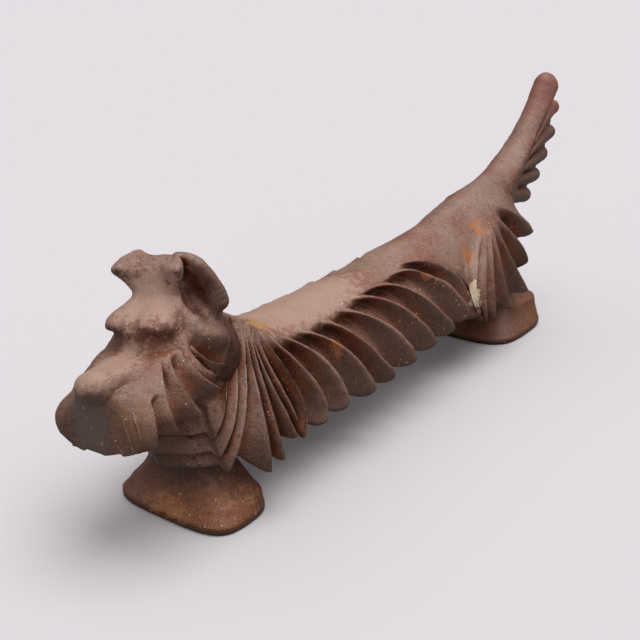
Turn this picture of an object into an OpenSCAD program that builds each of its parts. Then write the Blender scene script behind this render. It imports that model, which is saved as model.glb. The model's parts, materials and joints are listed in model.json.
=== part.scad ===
// Cast-iron andiron in the form of a long terrier.
// The hearth is the plane z = 0 and the dog faces -Y. The origin is the
// centre of the front foot's base, and the left and right sides mirror
// each other about x = 0, but for the slight turn of the head on its stud.

/* [Back and body] */
// Distance between the centres of the two feet
foot_spacing = 294; // [270:1:310]
// Height of the log rest above the hearth
back_h = 79; // [76:1:90]
// How far the back rises towards the neck
nape_rise = 15; // [10:1:15]
// How far the back has risen at the rear foot
rump_rise = 28; // [20:1:30]
// Half width of the body core under the ribs
core_half_w = 27; // [26:0.5:30]
// Height of the open underside above the hearth
belly_z = 38; // [34:1:40]
// Casting wall thickness
wall = 5; // [4:0.5:6]

/* [Flank ribs] */
// Half width over the rib tips
rib_half_w = 44; // [40:1:50]
// Distance from one rib tip to the next
rib_pitch = 22; // [20:0.5:24]
// Number of flank ribs on each side
rib_count = 9; // [6:1:9]
// How far the long ribs sweep back from their start to their tip
rib_sweep = 48; // [30:1:52]
// Depth of the grooves behind the flank ribs
rib_groove = 10; // [6:0.5:12]
// Depth of the grooves in the mane
mane_groove = 6; // [3:0.5:7]

/* [Haunch and tail] */
// Half width over the haunch
haunch_half_w = 40; // [36:1:46]
// Depth of the grooves between the folds of the haunch
fold_groove = 6; // [3:0.5:7]
// Depth of the grooves between the tail's feathers
feather_groove = 9; // [5:0.5:12]
// Height of the middle of the tail's tip
tail_tip_z = 158; // [145:1:175]
// How far the tail's tip lies behind the rear foot's centre
tail_reach = 85; // [70:1:95]
// Radius of the tail at its tip
tail_r = 9.5; // [7:0.5:11]
// Number of feathers along the back of the tail
feather_count = 5; // [3:1:6]

/* [Head] */
// How far the nose lies in front of the front foot's centre
nose_reach = 64; // [60:1:68]
// Height of the top of the skull
skull_z = 124; // [120:1:127]
// Turn of the head on its stud, which lifts its left side
head_turn = 10; // [-15:1:15]
// Half width of the head at the cheeks
head_half_w = 23; // [21:0.5:26]
// Half width over the ears
ear_half_w = 26.5; // [25:0.5:29]
// Height of the ear tops
ear_z = 128; // [126:1:131]
// Radius of the ear's rounded edge
ear_edge_r = 5; // [4:0.5:6]
// Height of the bottom of the beard
beard_z = 46; // [42:1:50]
// Half width of the beard
beard_half_w = 29; // [24:0.5:31]

/* [Feet] */
// Half width of the front foot's base
front_foot_half_w = 36; // [30:1:40]
// Half length of the front foot's base
front_foot_half_l = 21; // [18:1:26]
// Half width of the rear foot's base
rear_foot_half_w = 38; // [32:1:42]
// Half length of the rear foot's base
rear_foot_half_l = 36; // [28:1:40]
// Height of the rim at the front of a foot
foot_rim_t = 4; // [3:0.5:6]
// Height of the rim at the back of the front foot
front_heel_h = 10; // [6:0.5:14]
// Height of the rim at the back of the rear foot
rear_heel_h = 19; // [8:0.5:20]
// Thickness of a foot's wall beside the heads of its bolts
head_wall = 1.8; // [1.5:0.1:3.5]
// Half length of a foot's neck
neck_half_l = 12; // [11:0.5:13]
// Thickness of the plate on top of a foot
foot_plate_t = 6; // [5:0.5:8]
// Height of the face where each foot meets the body
seat_z = 42; // [40:0.5:43]

/* [Fastenings] */
// Diameter of the bolts and the head stud
bolt_d = 7.8; // [6:0.1:8.4]
// Clearance all round a bolt in its hole
bolt_clear = 0.4; // [0.3:0.05:0.6]
// Distance between the two bolts of a foot
bolt_spacing = 19; // [18:0.5:20]
// Size across the flats of the square nuts and bolt heads
nut_af = 12.5; // [12:0.5:13.5]
// Thickness of a nut or a bolt head
nut_t = 6; // [5:0.5:7]
// Diameter of a washer
washer_d = 16; // [15:0.5:17]
// Thickness of a washer
washer_t = 1.6; // [1.2:0.1:2]
// How far a bolt stands out of its nut
bolt_end = 3; // [2:0.5:5]
// Depth of the tapped hole in the head
stud_depth = 24; // [18:1:30]

/* [Hidden] */

iron = [0.36, 0.27, 0.25];
head_iron = [0.42, 0.31, 0.28];
foot_rust = [0.47, 0.26, 0.17];
steel = [0.45, 0.40, 0.36];

bore_d = bolt_d + 2 * bolt_clear;
seat_t = wall + 1;
seat_top = seat_z + seat_t;
// Gap all round a thread in its nut or tapped hole
thread_gap = 0.15;
nut_room = nut_af * sqrt(2) + 1.2;
head_clear = 0.5;
neck_half_w = (bolt_spacing + nut_af) / 2 + head_clear + head_wall;
head_z = seat_z - foot_plate_t - nut_t;

// The plane where the head meets the neck leans back by neck_tilt
neck_tilt = 31;
neck_mid = [0, 1, back_h - 1];
neck_wall = 8;
neck_r = 22;

// ---- curves ----

function mix(a, b, t) = a + (b - a) * t;

// Point at t on a cubic curve with four control points
function bez(p, t) =
    let (s = 1 - t)
    s * s * s * p[0] + 3 * s * s * t * p[1] + 3 * s * t * t * p[2] + t * t * t * p[3];

// The same curve given by three control points, raised to four
function three(a, b, c) = [a, mix(a, b, 2 / 3), mix(c, b, 2 / 3), c];

function unit(v) = v / norm(v);

// Height of the log rest and the rump over the hearth at distance y
spine_start = 0.37 * foot_spacing;
function back(y) =
    let (u = max(0, y - spine_start) / (foot_spacing - spine_start))
    back_h + rump_rise * u * u;

// The same with the rise of the nape between the neck and the log rest
nape_y = [20, 58];
function spine(y) =
    let (v = (nape_y[1] - y) / (nape_y[1] - nape_y[0]))
    back(y) + nape_rise * pow(min(1, max(0, v)), 1.8);

// ---- shared solids ----

// Solid skinned over rings with equal numbers of points
module skin(rings) {
    n = len(rings[0]);
    m = len(rings);
    last = (m - 1) * n;
    sides = [for (i = [0 : m - 2]) for (j = [0 : n - 1])
        let (k = (j + 1) % n, a = i * n, b = a + n)
        each [[a + j, b + j, b + k], [a + j, b + k, a + k]]];
    start_cap = [for (j = [1 : n - 2]) [0, j, j + 1]];
    end_cap = [for (j = [1 : n - 2]) [last, last + j + 1, last + j]];
    polyhedron([for (r = rings) each r], concat(sides, start_cap, end_cap));
}

// Arch across the body at distance y, flat along its lower edge
arch_steps = 14;
function arch(y, half_w, low, high, power = 2.3) =
    [for (k = [0 : arch_steps])
        let (a = 180 * k / arch_steps, c = cos(a), s = sin(a))
        [-half_w * sign(c) * pow(abs(c), 2 / power), y,
         low + (high - low) * pow(abs(s), 2 / power)]];

// Blade between a root curve and a crest curve, on both sides of the dog
blade_steps = 6;
module blades(crest, root, crest_t, root_t) {
    rings = [for (k = [0 : blade_steps])
        let (t = k / blade_steps, e = 0.02,
             c = bez(crest, t), r = bez(root, t),
             along = bez(crest, min(1, t + e)) - bez(crest, max(0, t - e)),
             n = unit(cross(along, c - r)))
        [r + n * root_t / 2, r - n * root_t / 2, c - n * crest_t / 2, c + n * crest_t / 2]];
    skin(rings);
    mirror([1, 0, 0])
        skin(rings);
}

// Moves what is drawn along +Z onto the stud's axis, at the neck face
module on_neck() {
    translate(neck_mid)
        rotate([-90 - neck_tilt, 0, 0])
            children();
}

module square_nut() {
    difference() {
        translate([-nut_af / 2, -nut_af / 2, 0])
            cube([nut_af, nut_af, nut_t]);
        translate([0, 0, -1])
            cylinder(d = bolt_d + 2 * thread_gap, h = nut_t + 2, $fn = 48);
    }
}

module washer() {
    difference() {
        cylinder(d = washer_d, h = washer_t, $fn = 48);
        translate([0, 0, -1])
            cylinder(d = bore_d, h = washer_t + 2, $fn = 48);
    }
}

module at_bolts(foot_y) {
    for (side = [-1, 1])
        translate([side * bolt_spacing / 2, foot_y, 0])
            children();
}

// ---- body ----

// The body and the tail are one skin whose rings follow the crests of the
// coat: the locks of the mane, the flank ribs, the folds of the haunch and
// the feathers of the tail. A crest is [curve, top, bottom]: a curve from
// the back to its tip, and the points above and below it at x = 0.

// Crest through a start on the back, a middle and a tip
function crest(start, middle, tip, bottom) =
    [three(start, 2 * middle - (start + tip) / 2, tip), [0, start[1], spine(start[1])], bottom];

// Three collars that meet across the chest, then three hanging locks
chest_y = -21;
mane = [
    crest([7, 24, spine(24) - 2], [20, 7, 67], [18, -7, 59], [0, -13, 57]),
    crest([10, 25.5, spine(25.5) - 1], [23, 0, 66], [28, -9, 48], [0, chest_y, 45]),
    crest([11, 27, spine(27) - 1], [27, 3, 61], [31, -9, 42], [0, chest_y - 2, 36]),
    crest([12, 28.5, spine(28.5) - 1], [32, 6, 57], [34, -8, 33], [0, chest_y + 1, 28]),
    crest([14, 30, spine(30) - 2], [37, 12, 55], [42, 9, 26], [0, 6, belly_z]),
    crest([15, 31.5, spine(31.5) - 2], [37, 19, 57], [43, 18, 30], [0, 16, belly_z]),
    crest([16, 33, spine(33) - 3], [38, 26, 58], [44, 25, 38], [0, 22, belly_z])
];

// Flank rib i: steep at the front, then swept further and further back
function rib(i) =
    let (tip = [rib_half_w, 27 + i * rib_pitch, belly_z - 3 + i],
         start_y = tip[1] + 7.5 - rib_sweep * sin(min(90, 15 * i)),
         late = max(0, i - 4))
    crest([17, start_y, spine(start_y) - 5],
          [rib_half_w - 6.5 - 2.5 * late, mix(start_y, tip[1], 0.5) + 3 + 6 * pow(0.5, i), 55.5 + 3 * late],
          tip, [0, tip[1] - 4, belly_z]);

// Folds of the haunch, in a fan from one point below the back
haunch_tips = [[32, -88, 62], [39, -85, 42], [41, -70, 33], [40, -37, 29], [36, -6, 40],
               [31, 14, 48], [27, 24, 64]];
haunch_bottoms = [[-88, 0], [-84, 0], [-72, 0], [-40, 0], [4, 0], [16, 10], [24, 22]];
function haunch(k) =
    let (y = foot_spacing - 45 + k * (2 + 0.3 * k),
         start = [20 - k * k / 8, y, spine(y) - 9 + k / 3],
         tip = [haunch_tips[k][0] * haunch_half_w / 40, foot_spacing + haunch_tips[k][1],
                haunch_tips[k][2]],
         bottom = haunch_bottoms[k])
    crest(start, mix(start, tip, 0.55) + [5, 0, 2], tip,
          [0, foot_spacing + bottom[0], belly_z + bottom[1]]);

// Line up the front of the tail, from the rump to its tip
tail_end = [0, foot_spacing + tail_reach, tail_tip_z];
tail_front = [[0, foot_spacing - 4, back_h + rump_rise + 1], [0, foot_spacing + 31, back_h + 38],
              [0, foot_spacing + 43, 136], tail_end + [0, -17, 3]];
// Line down the feather tips at the back of the tail
tail_back = [[6, foot_spacing + 60, 78], [6, foot_spacing + 80, 88],
             [5, foot_spacing + 92, 112], tail_end + [4, 18, -22]];

// Feather at t, from the rump at 0 to the top of the tail at 1
function feather(t) =
    let (top = bez(tail_front, t), tip = bez(tail_back, t),
         start = top + [mix(15, tail_r, pow(t, 0.5)), mix(-3, 6, t), mix(-7, -14, t)])
    [three(start, mix(start, tip, 0.5) + [4, 0, -3 * (1 - t)], tip), top, [0, tip[1] - 5, tip[2] + 1]];

// Rounded end of the tail
tail_close = [for (s = [0.9, 0.5, 0.15])
    let (c = tail_end + [0, 2 * (1 - s), 7 * (1 - s)],
         start = c + s * [tail_r, -3, 3], tip = c + s * [tail_r / 2, 8, -8])
    [three(start, mix(start, tip, 0.5) + [s * 4, 0, 0], tip), c + s * [0, -9, 6], c + s * [0, 10, -8]]];

crests = concat(
    mane,
    [for (i = [0 : rib_count - 1]) rib(i)],
    [for (k = [0 : len(haunch_tips) - 1]) haunch(k)],
    [for (k = [0 : feather_count - 1]) feather(k / (feather_count - 1))],
    tail_close);

first_rib = len(mane);
first_fold = first_rib + rib_count;
first_feather = first_fold + len(haunch_tips);
last_feather = first_feather + feather_count - 1;

// How deep the groove behind crest i is
function groove(i) =
    i < 1 ? 0 :
    i < first_rib ? mane_groove :
    i < first_fold ? rib_groove :
    i < first_feather ? fold_groove :
    i < last_feather ? feather_groove : 0;

// Share of the way to the next crest, and share of the groove's depth:
// a flat crest, a steep drop behind it and a broad flute up to the next
flute = [[0.07, 0], [0.2, 1], [0.45, 0.8], [0.75, 0.35], [0.93, 0]];
// The smooth thigh lies between the last rib and the haunch
thigh = [[0.04, 0], [0.12, 0.9], [0.25, 0.5], [0.4, 0.1], [0.6, -0.2], [0.8, 0], [0.95, 0.3]];

crest_steps = 6;
function body_ring(a, b, f, deep) =
    let (top = mix(a[1], b[1], f), bottom = mix(a[2], b[2], f), centre = (top + bottom) / 2,
         side = [for (k = [crest_steps : -1 : 0])
             let (t = k / crest_steps, p = mix(bez(a[0], t), bez(b[0], t), f))
             p + deep * min(1, 2.5 * t) * (1 + 0.5 * t * t * t) * unit(centre - p)],
         low = side[0], high = side[crest_steps],
         under = [0.66 * low[0], mix(low[1], bottom[1], 0.7), mix(low[2], bottom[2], 0.6)],
         shoulder = [for (s = [0.7, 0.35]) [high[0] * s, mix(top[1], high[1], s),
                                           top[2] - (top[2] - high[2]) * s * s]],
         half = concat([under], side, shoulder))
    concat([bottom], [for (p = half) [-p[0], p[1], p[2]]], [top],
           [for (k = [len(half) - 1 : -1 : 0]) half[k]]);

// Round face of the neck, with as many points as a body ring
neck_points = 2 * (crest_steps + 4) + 2;
neck_ring = [for (k = [0 : neck_points - 1])
    let (a = 360 * k / neck_points - 90, up = neck_r * sin(a))
    neck_mid + [-neck_r * cos(a), up * sin(neck_tilt), up * cos(neck_tilt)]];

module coat() {
    skin([
        neck_ring,
        for (i = [0 : len(crests) - 2])
            for (g = i == first_fold - 1 ? thigh : flute)
                body_ring(crests[i], crests[i + 1], g[0], g[1] * groove(i))
    ]);
}

// Hollow of the casting, which leaves a slab over each foot
module cavity() {
    roof_drop = wall + 1;
    half_w = core_half_w - wall;
    difference() {
        skin([
            arch(chest_y + wall + 2, half_w - 2, -10, seat_z + 4, 6),
            arch(-3, half_w - 1, -10, seat_z + 5, 6),
            arch(4, half_w, -10, back_h - 14, 3),
            for (share = [0.04, 0.2, 0.34, 0.48, 0.6, 0.7, 0.78, 0.86, 0.93, 1])
                let (y = share * foot_spacing)
                arch(y, half_w, -10, back(y) - roof_drop),
            arch(foot_spacing + 13, half_w - 3, -10, back(foot_spacing + 13) - roof_drop - 9)
        ]);
        for (y = [0, foot_spacing])
            translate([-core_half_w, y - neck_half_l - 3, seat_z])
                cube([2 * core_half_w, 2 * neck_half_l + 6, seat_t]);
    }
}

// The rough casting, before it is drilled and faced
module rough_body() {
    difference() {
        coat();
        cavity();
    }
}

module body_casting() color(iron) {
    difference() {
        // Set to its exact width over the rib tips
        resize([2 * rib_half_w, 0, 0])
            rough_body();
        // Flat seat for the head stud's washer
        on_neck()
            translate([0, 0, neck_wall])
                cylinder(d = nut_room, h = washer_t + nut_t + bolt_end + 4, $fn = 48);
        on_neck()
            translate([0, 0, -1])
                cylinder(d = bore_d, h = neck_wall + 2, $fn = 48);
        for (y = [0, foot_spacing])
            at_bolts(y)
                translate([0, 0, seat_z - 1])
                    cylinder(d = bore_d, h = seat_t + 2, $fn = 48);
        // Room for the front nuts and the ends of their bolts
        at_bolts(0)
            translate([0, 0, seat_top]) {
                cylinder(d = nut_room, h = washer_t + nut_t + 0.6, $fn = 48);
                cylinder(d = bolt_d + 4, h = washer_t + nut_t + bolt_end + 1, $fn = 48);
            }
    }
}

// ---- head ----

module head_block() {
    front = -nose_reach;
    skin([
        arch(front + 3, head_half_w - 14, beard_z + 8, skull_z - 40, 2),
        arch(front + 6, head_half_w - 10, beard_z + 5, skull_z - 37, 1.9),
        arch(front + 15, head_half_w - 6, beard_z + 4, skull_z - 35, 1.7),
        arch(front + 30, head_half_w - 5, beard_z + 6, skull_z - 33, 1.7),
        arch(front + 35, head_half_w - 3, beard_z + 8, skull_z - 22, 2),
        arch(front + 41, head_half_w - 2, beard_z + 9, skull_z - 14),
        arch(front + 49, head_half_w, beard_z + 11, skull_z - 7),
        arch(front + 60, head_half_w, beard_z + 17, skull_z - 1),
        arch(front + 68, head_half_w - 2, beard_z + 23, skull_z - 3),
        arch(front + 82, head_half_w - 8, skull_z - 39, skull_z - 14)
    ]);
}

module nose() {
    translate([0, 10 - nose_reach, skull_z - 42])
        scale([1.1, 1, 0.75])
            sphere(r = 10, $fn = 32);
}

// Brow in three lobes, lowest in the middle
module brows() {
    for (lobe = [[-10.5, 44, -24, 0.8], [0, 44, -27, 0.7], [10.5, 44, -24, 0.8]])
        translate([lobe[0], lobe[1] - nose_reach, skull_z + lobe[2]])
            scale([1, 1.2, lobe[3]])
                sphere(r = 11, $fn = 32);
}

// Front of the beard: narrow face below the nose, side lobes behind it
function beard_outline(y, right) =
    [for (p = right) [-p[0], y, p[1]],
     for (k = [len(right) - 1 : -1 : 0]) [right[k][0], y, right[k][1]]];

module beard_front() {
    lobe = beard_half_w;
    skin([
        beard_outline(3 - nose_reach, [[5, beard_z + 4], [10, beard_z + 7], [12, beard_z + 15],
                                    [9, beard_z + 27], [8, beard_z + 34]]),
        beard_outline(7 - nose_reach, [[11, beard_z], [lobe - 5, beard_z + 3], [lobe, beard_z + 11],
                                       [lobe - 1, beard_z + 19], [15, beard_z + 36]]),
        beard_outline(14 - nose_reach, [[11, beard_z + 4], [lobe - 7, beard_z + 7], [lobe - 3, beard_z + 13],
                                        [lobe - 4, beard_z + 20], [15, beard_z + 34]])
    ]);
}

module cheeks() {
    ends = [[28, -50, 56], [29.5, -44, 60], [31, -32, 63], [30.5, -22, 66], [29, -13, 70]];
    for (e = ends) {
        start = [18, 0.5 * e[1] - 14, skull_z - 34];
        blades(three(start, [e[0] + 1, mix(start[1], e[1], 0.5), 78], e),
               three(start - [8, 0, 6], [10, mix(start[1], e[1], 0.5), 74],
                     [8, e[1] + 2, e[2] + 6]), 3, 6);
    }
}

// Rounded ear with a front flap and a rear rim, open to the side between them
module ears() {
    rim_x = ear_half_w - ear_edge_r - 1;
    for (side = [0, 1])
        mirror([side, 0, 0])
            difference() {
                hull() {
                    translate([12, -5, skull_z - 19])
                        sphere(r = 9, $fn = 24);
                    translate([15, -12, ear_z - ear_edge_r])
                        sphere(r = ear_edge_r, $fn = 24);
                    translate([rim_x, -3, ear_z - 2 * ear_edge_r])
                        sphere(r = ear_edge_r, $fn = 24);
                    translate([rim_x, 0, ear_z - 23])
                        sphere(r = ear_edge_r + 1, $fn = 24);
                }
                hull() {
                    translate([rim_x + 3, -14, ear_z - 9])
                        sphere(r = 4, $fn = 24);
                    translate([rim_x + 5, -10, ear_z - 17])
                        sphere(r = 6, $fn = 24);
                    translate([rim_x + 3, -9, ear_z - 27])
                        sphere(r = 5, $fn = 24);
                }
            }
}

// Turns what is drawn about the stud's axis
module turned_head() {
    translate(neck_mid)
        rotate(a = -head_turn, v = [0, cos(neck_tilt), -sin(neck_tilt)])
            translate(-neck_mid)
                children();
}

module head_casting() color(head_iron) {
    difference() {
        turned_head()
            union() {
                head_block();
                nose();
                brows();
                beard_front();
                cheeks();
                ears();
            }
        // Everything behind the neck's face belongs to the body
        on_neck()
            translate([-skull_z, -skull_z, 0])
                cube([2 * skull_z, 2 * skull_z, skull_z]);
        on_neck()
            translate([0, 0, -stud_depth])
                cylinder(d = bolt_d + 2 * thread_gap, h = stud_depth + 1, $fn = 48);
    }
}

// ---- feet ----

// Share of the flare that is left at height z, from a rim up to a neck
function flare(z, rim, neck, power) =
    pow(min(1, max(0, 1 - (z - rim) / (neck - rim))), power);

// Outline of a foot at height z: a rounded rectangle that stays wide for
// longer at its back, where s is positive
foot_steps = 28;
corner_power = 3.6;
function foot_ring(z, half_w, half_l, heel_h, inset) =
    [for (k = [0 : foot_steps - 1])
        let (a = 360 * k / foot_steps, c = cos(a), s = sin(a),
             share = mix(flare(z, foot_rim_t, seat_z - 11, 2.2),
                         flare(z, heel_h, seat_z - 2, 1.7), 0.5 + 0.5 * s))
        [(mix(neck_half_w, half_w, share) - inset) * sign(c) * pow(abs(c), 2 / corner_power),
         (mix(neck_half_l, half_l, share) - inset) * sign(s) * pow(abs(s), 2 / corner_power), z]];

module foot_shape(half_w, half_l, heel_h, inset) {
    heights = [0, foot_rim_t, 7, 11, 14.5, 18, 21.5, 25, 28.5, seat_z - 9, seat_z - 4, seat_z];
    skin([for (z = heights) foot_ring(z, half_w, half_l, heel_h, inset)]);
}

// How far the pocket for the bolt heads reaches below them
head_pocket_t = 4;
module foot(half_w, half_l, heel_h) {
    difference() {
        foot_shape(half_w, half_l, heel_h, 0);
        difference() {
            translate([0, 0, -0.01])
                foot_shape(half_w, half_l, heel_h, wall - 0.5);
            translate([-half_w, -half_l, seat_z - foot_plate_t])
                cube([2 * half_w, 2 * half_l, 2 * foot_plate_t]);
        }
        // Pocket that holds the two bolt heads
        translate([head_wall - neck_half_w, -nut_af / 2 - head_clear, head_z - head_pocket_t])
            cube([2 * (neck_half_w - head_wall), nut_af + 2 * head_clear, nut_t + head_pocket_t]);
        at_bolts(0)
            translate([0, 0, seat_z - foot_plate_t - 1])
                cylinder(d = bore_d, h = foot_plate_t + 2, $fn = 48);
    }
}

module front_foot() color(foot_rust) {
    foot(front_foot_half_w, front_foot_half_l, front_heel_h);
}

module rear_foot() color(foot_rust) {
    translate([0, foot_spacing, 0])
        foot(rear_foot_half_w, rear_foot_half_l, rear_heel_h);
}

// ---- fastenings ----

module head_stud() color(steel) {
    on_neck()
        translate([0, 0, 1 - stud_depth])
            cylinder(d = bolt_d, h = stud_depth - 1 + neck_wall + washer_t + nut_t + bolt_end, $fn = 48);
}

module head_washer() color(steel) {
    on_neck()
        translate([0, 0, neck_wall])
            washer();
}

module head_nut() color(steel) {
    on_neck()
        translate([0, 0, neck_wall + washer_t])
            square_nut();
}

module foot_bolts(foot_y) {
    at_bolts(foot_y) {
        translate([-nut_af / 2, -nut_af / 2, head_z])
            cube([nut_af, nut_af, nut_t]);
        translate([0, 0, head_z + nut_t / 2])
            cylinder(d = bolt_d, h = seat_top + washer_t + nut_t + bolt_end - head_z - nut_t / 2, $fn = 48);
    }
}

module foot_washers(foot_y) {
    at_bolts(foot_y)
        translate([0, 0, seat_top])
            washer();
}

module foot_nuts(foot_y) {
    at_bolts(foot_y)
        translate([0, 0, seat_top + washer_t])
            square_nut();
}

module front_foot_bolts() color(steel) foot_bolts(0);
module front_foot_washers() color(steel) foot_washers(0);
module front_foot_nuts() color(steel) foot_nuts(0);
module rear_foot_bolts() color(steel) foot_bolts(foot_spacing);
module rear_foot_washers() color(steel) foot_washers(foot_spacing);
module rear_foot_nuts() color(steel) foot_nuts(foot_spacing);

body_casting();
head_casting();
front_foot();
rear_foot();
head_stud();
head_washer();
head_nut();
front_foot_bolts();
front_foot_washers();
front_foot_nuts();
rear_foot_bolts();
rear_foot_washers();
rear_foot_nuts();
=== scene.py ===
"""Looks of a rusty cast-iron andiron in the form of a long terrier.

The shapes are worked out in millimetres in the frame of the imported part: the
hearth is z = 0, the dog faces -Y, and x = 0 is its plane of symmetry.
"""
import json
import math

import bpy
import numpy as np
import openvdb
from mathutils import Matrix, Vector


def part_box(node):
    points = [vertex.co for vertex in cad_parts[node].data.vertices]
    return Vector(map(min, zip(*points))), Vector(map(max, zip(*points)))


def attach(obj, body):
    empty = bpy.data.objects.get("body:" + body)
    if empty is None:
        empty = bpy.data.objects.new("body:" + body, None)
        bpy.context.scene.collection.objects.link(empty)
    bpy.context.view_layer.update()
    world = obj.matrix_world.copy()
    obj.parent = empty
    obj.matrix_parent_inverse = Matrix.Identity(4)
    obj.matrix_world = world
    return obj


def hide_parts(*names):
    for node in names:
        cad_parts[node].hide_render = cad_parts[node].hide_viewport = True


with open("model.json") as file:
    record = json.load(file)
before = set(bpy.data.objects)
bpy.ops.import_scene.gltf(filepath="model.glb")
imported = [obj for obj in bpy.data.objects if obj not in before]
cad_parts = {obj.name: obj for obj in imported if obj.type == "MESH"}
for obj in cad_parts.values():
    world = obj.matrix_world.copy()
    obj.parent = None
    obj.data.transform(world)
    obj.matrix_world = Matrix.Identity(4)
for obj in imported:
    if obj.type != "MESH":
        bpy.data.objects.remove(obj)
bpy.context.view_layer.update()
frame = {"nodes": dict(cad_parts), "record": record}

MM = 0.001


# ---- sizes from the frame ----

def corners(node):
    """Lowest and highest corner of a CAD node in millimetres."""
    low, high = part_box(node)
    return np.array(low) / MM, np.array(high) / MM


front_low, front_high = corners("front_foot")
rear_low, rear_high = corners("rear_foot")
mounts = {m["name"]: np.array(m["pos_m"]) / MM for m in frame["record"]["mounts"]}

BACK_H = mounts["log_rest"][2]
REAR_Y = (rear_low[1] + rear_high[1]) / 2
# Height at which the body casting sits on its feet
SEAT_Z = front_high[2]
# Lowest line of the coat at x = 0, and the rise from the log rest to the rear foot
BELLY_Z = 38
RUMP_RISE = 28
WALL = 5
# The body's slab over each foot, with the bores for its two bolts
SEAT_T = 6
BORE_D = 8.6
BOLT_X = 9.5
# Flat round face between the neck and the head
NECK_MID = np.array([0, 1, BACK_H - 1])
NECK_TILT = math.radians(31)
NECK_R = 22
NECK_WALL = 8
NECK_AXIS = np.array([0, math.cos(NECK_TILT), -math.sin(NECK_TILT)])
# Room for the nuts and washers, and for the ends of the front foot's bolts
NUT_ROOM_R = 9.4
NUT_ROOM_H = 8.2
STUD_ROOM_L = 16
BOLT_END_R = 6
BOLT_END_H = 12


# ---- number helpers ----

def mix(a, b, t):
    return a + (b - a) * t


def smooth(x, low=0.0, high=1.0):
    """Rises smoothly from 0 at low to 1 at high."""
    t = np.clip((np.asarray(x, float) - low) / (high - low), 0, 1)
    return t * t * (3 - 2 * t)


def fade(x, start, width):
    """Falls along a cosine from 1 at start to 0 at start + width."""
    return 0.5 + 0.5 * np.cos(math.pi * np.clip((x - start) / width, 0, 1))


def window(x, rise_from, rise_to, fall_from, fall_to):
    """1 between two smooth edges and 0 outside them."""
    return smooth(x, rise_from, rise_to) * (1 - smooth(x, fall_from, fall_to))


def unit(v):
    return v / np.maximum(np.linalg.norm(v, axis=-1, keepdims=True), 1e-9)


def bezier(points, t):
    """Points at t on a cubic curve with four control points."""
    p = np.asarray(points, float)
    t = np.asarray(t, float)[..., None]
    s = 1 - t
    return s ** 3 * p[0] + 3 * s * s * t * p[1] + 3 * s * t * t * p[2] + t ** 3 * p[3]


def through(*points):
    """Control points of a cubic curve that passes through three or four points."""
    p = np.array(points, float)
    if len(p) == 3:
        middle = 2 * p[1] - (p[0] + p[2]) / 2
        return np.array([p[0], mix(p[0], middle, 2 / 3), mix(p[2], middle, 2 / 3), p[2]])
    steps = np.cumsum(np.linalg.norm(np.diff(p, axis=0), axis=1))
    t = steps[:2] / steps[2]
    weights = np.stack([(1 - t) ** 3, 3 * (1 - t) ** 2 * t, 3 * (1 - t) * t * t, t ** 3], 1)
    inner = np.linalg.solve(weights[:, 1:3], p[1:3] - weights[:, [0, 3]] @ p[[0, 3]])
    return np.array([p[0], inner[0], inner[1], p[3]])


def lumps(points, size, seed):
    """Smooth noise from -1 to 1 whose lumps are about size millimetres wide."""
    q = points / size
    cell = np.floor(q).astype(np.int64)
    f = q - cell
    f = f * f * (3 - 2 * f)
    total = 0
    for corner in np.ndindex(2, 2, 2):
        n = cell + np.array(corner)
        h = n[:, 0] * 374761393 + n[:, 1] * 668265263 + n[:, 2] * 2147483647 + seed * 974634777
        h = (h ^ (h >> 13)) * 1274126177 & 0xFFFFFFFF
        h = (h ^ (h >> 16)) & 0xFFFF
        weight = np.prod(np.where(corner, f, 1 - f), axis=1)
        total = total + weight * (h / 32767.5 - 1)
    return total


# ---- mesh helpers ----

def add_mesh(name, points, faces):
    """New mesh object from points in millimetres."""
    mesh = bpy.data.meshes.new(name)
    mesh.from_pydata((np.asarray(points) * MM).tolist(), [], faces)
    mesh.validate()
    obj = bpy.data.objects.new(name, mesh)
    bpy.context.scene.collection.objects.link(obj)
    return obj


def skin(name, rings):
    """Closed mesh over rings of equal numbers of points."""
    rings = np.asarray(rings)
    m, n = rings.shape[:2]
    index = np.arange(m * n).reshape(m, n)
    a, b = index[:-1], index[1:]
    quads = np.stack([a, b, np.roll(b, -1, 1), np.roll(a, -1, 1)], -1).reshape(-1, 4).tolist()
    points = np.concatenate([rings.reshape(-1, 3), [rings[0].mean(0), rings[-1].mean(0)]])
    first, last = m * n, m * n + 1
    for j in range(n):
        k = (j + 1) % n
        quads.append([int(index[0, j]), int(index[0, k]), first])
        quads.append([int(index[-1, k]), int(index[-1, j]), last])
    return add_mesh(name, points, quads)


def combine(obj, operation, others):
    """Applies a boolean operation with the other meshes to the object, and deletes them."""
    for other in others:
        modifier = obj.modifiers.new(operation, "BOOLEAN")
        modifier.operation = operation
        modifier.solver = "MANIFOLD"
        modifier.object = other
    evaluated = obj.evaluated_get(bpy.context.evaluated_depsgraph_get())
    mesh = bpy.data.meshes.new_from_object(evaluated)
    obj.modifiers.clear()
    obj.data = mesh
    for other in others:
        bpy.data.objects.remove(other)


def points_of(obj):
    """Vertices of an object in millimetres."""
    co = np.empty(len(obj.data.vertices) * 3)
    obj.data.vertices.foreach_get("co", co)
    return co.reshape(-1, 3) / MM


def set_points(obj, points):
    obj.data.vertices.foreach_set("co", (points * MM).ravel())
    obj.data.update()


def normals_of(obj):
    normals = np.empty(len(obj.data.vertices) * 3)
    obj.data.vertices.foreach_get("normal", normals)
    return normals.reshape(-1, 3)


# Height and width in millimetres of the lumps in a casting's skin, and their seed
SKIN_LUMPS = ((0.5, 9, 1), (0.35, 3.5, 2), (0.25, 1.6, 3))


def roughen(obj, amount, keep):
    """Gives a casting its uneven skin. keep is the share of the lumps left at each point."""
    p = points_of(obj)
    rise = sum(height * lumps(p, width, seed) for height, width, seed in SKIN_LUMPS)
    set_points(obj, p + normals_of(obj) * (amount * rise * keep(p))[:, None])


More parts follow.
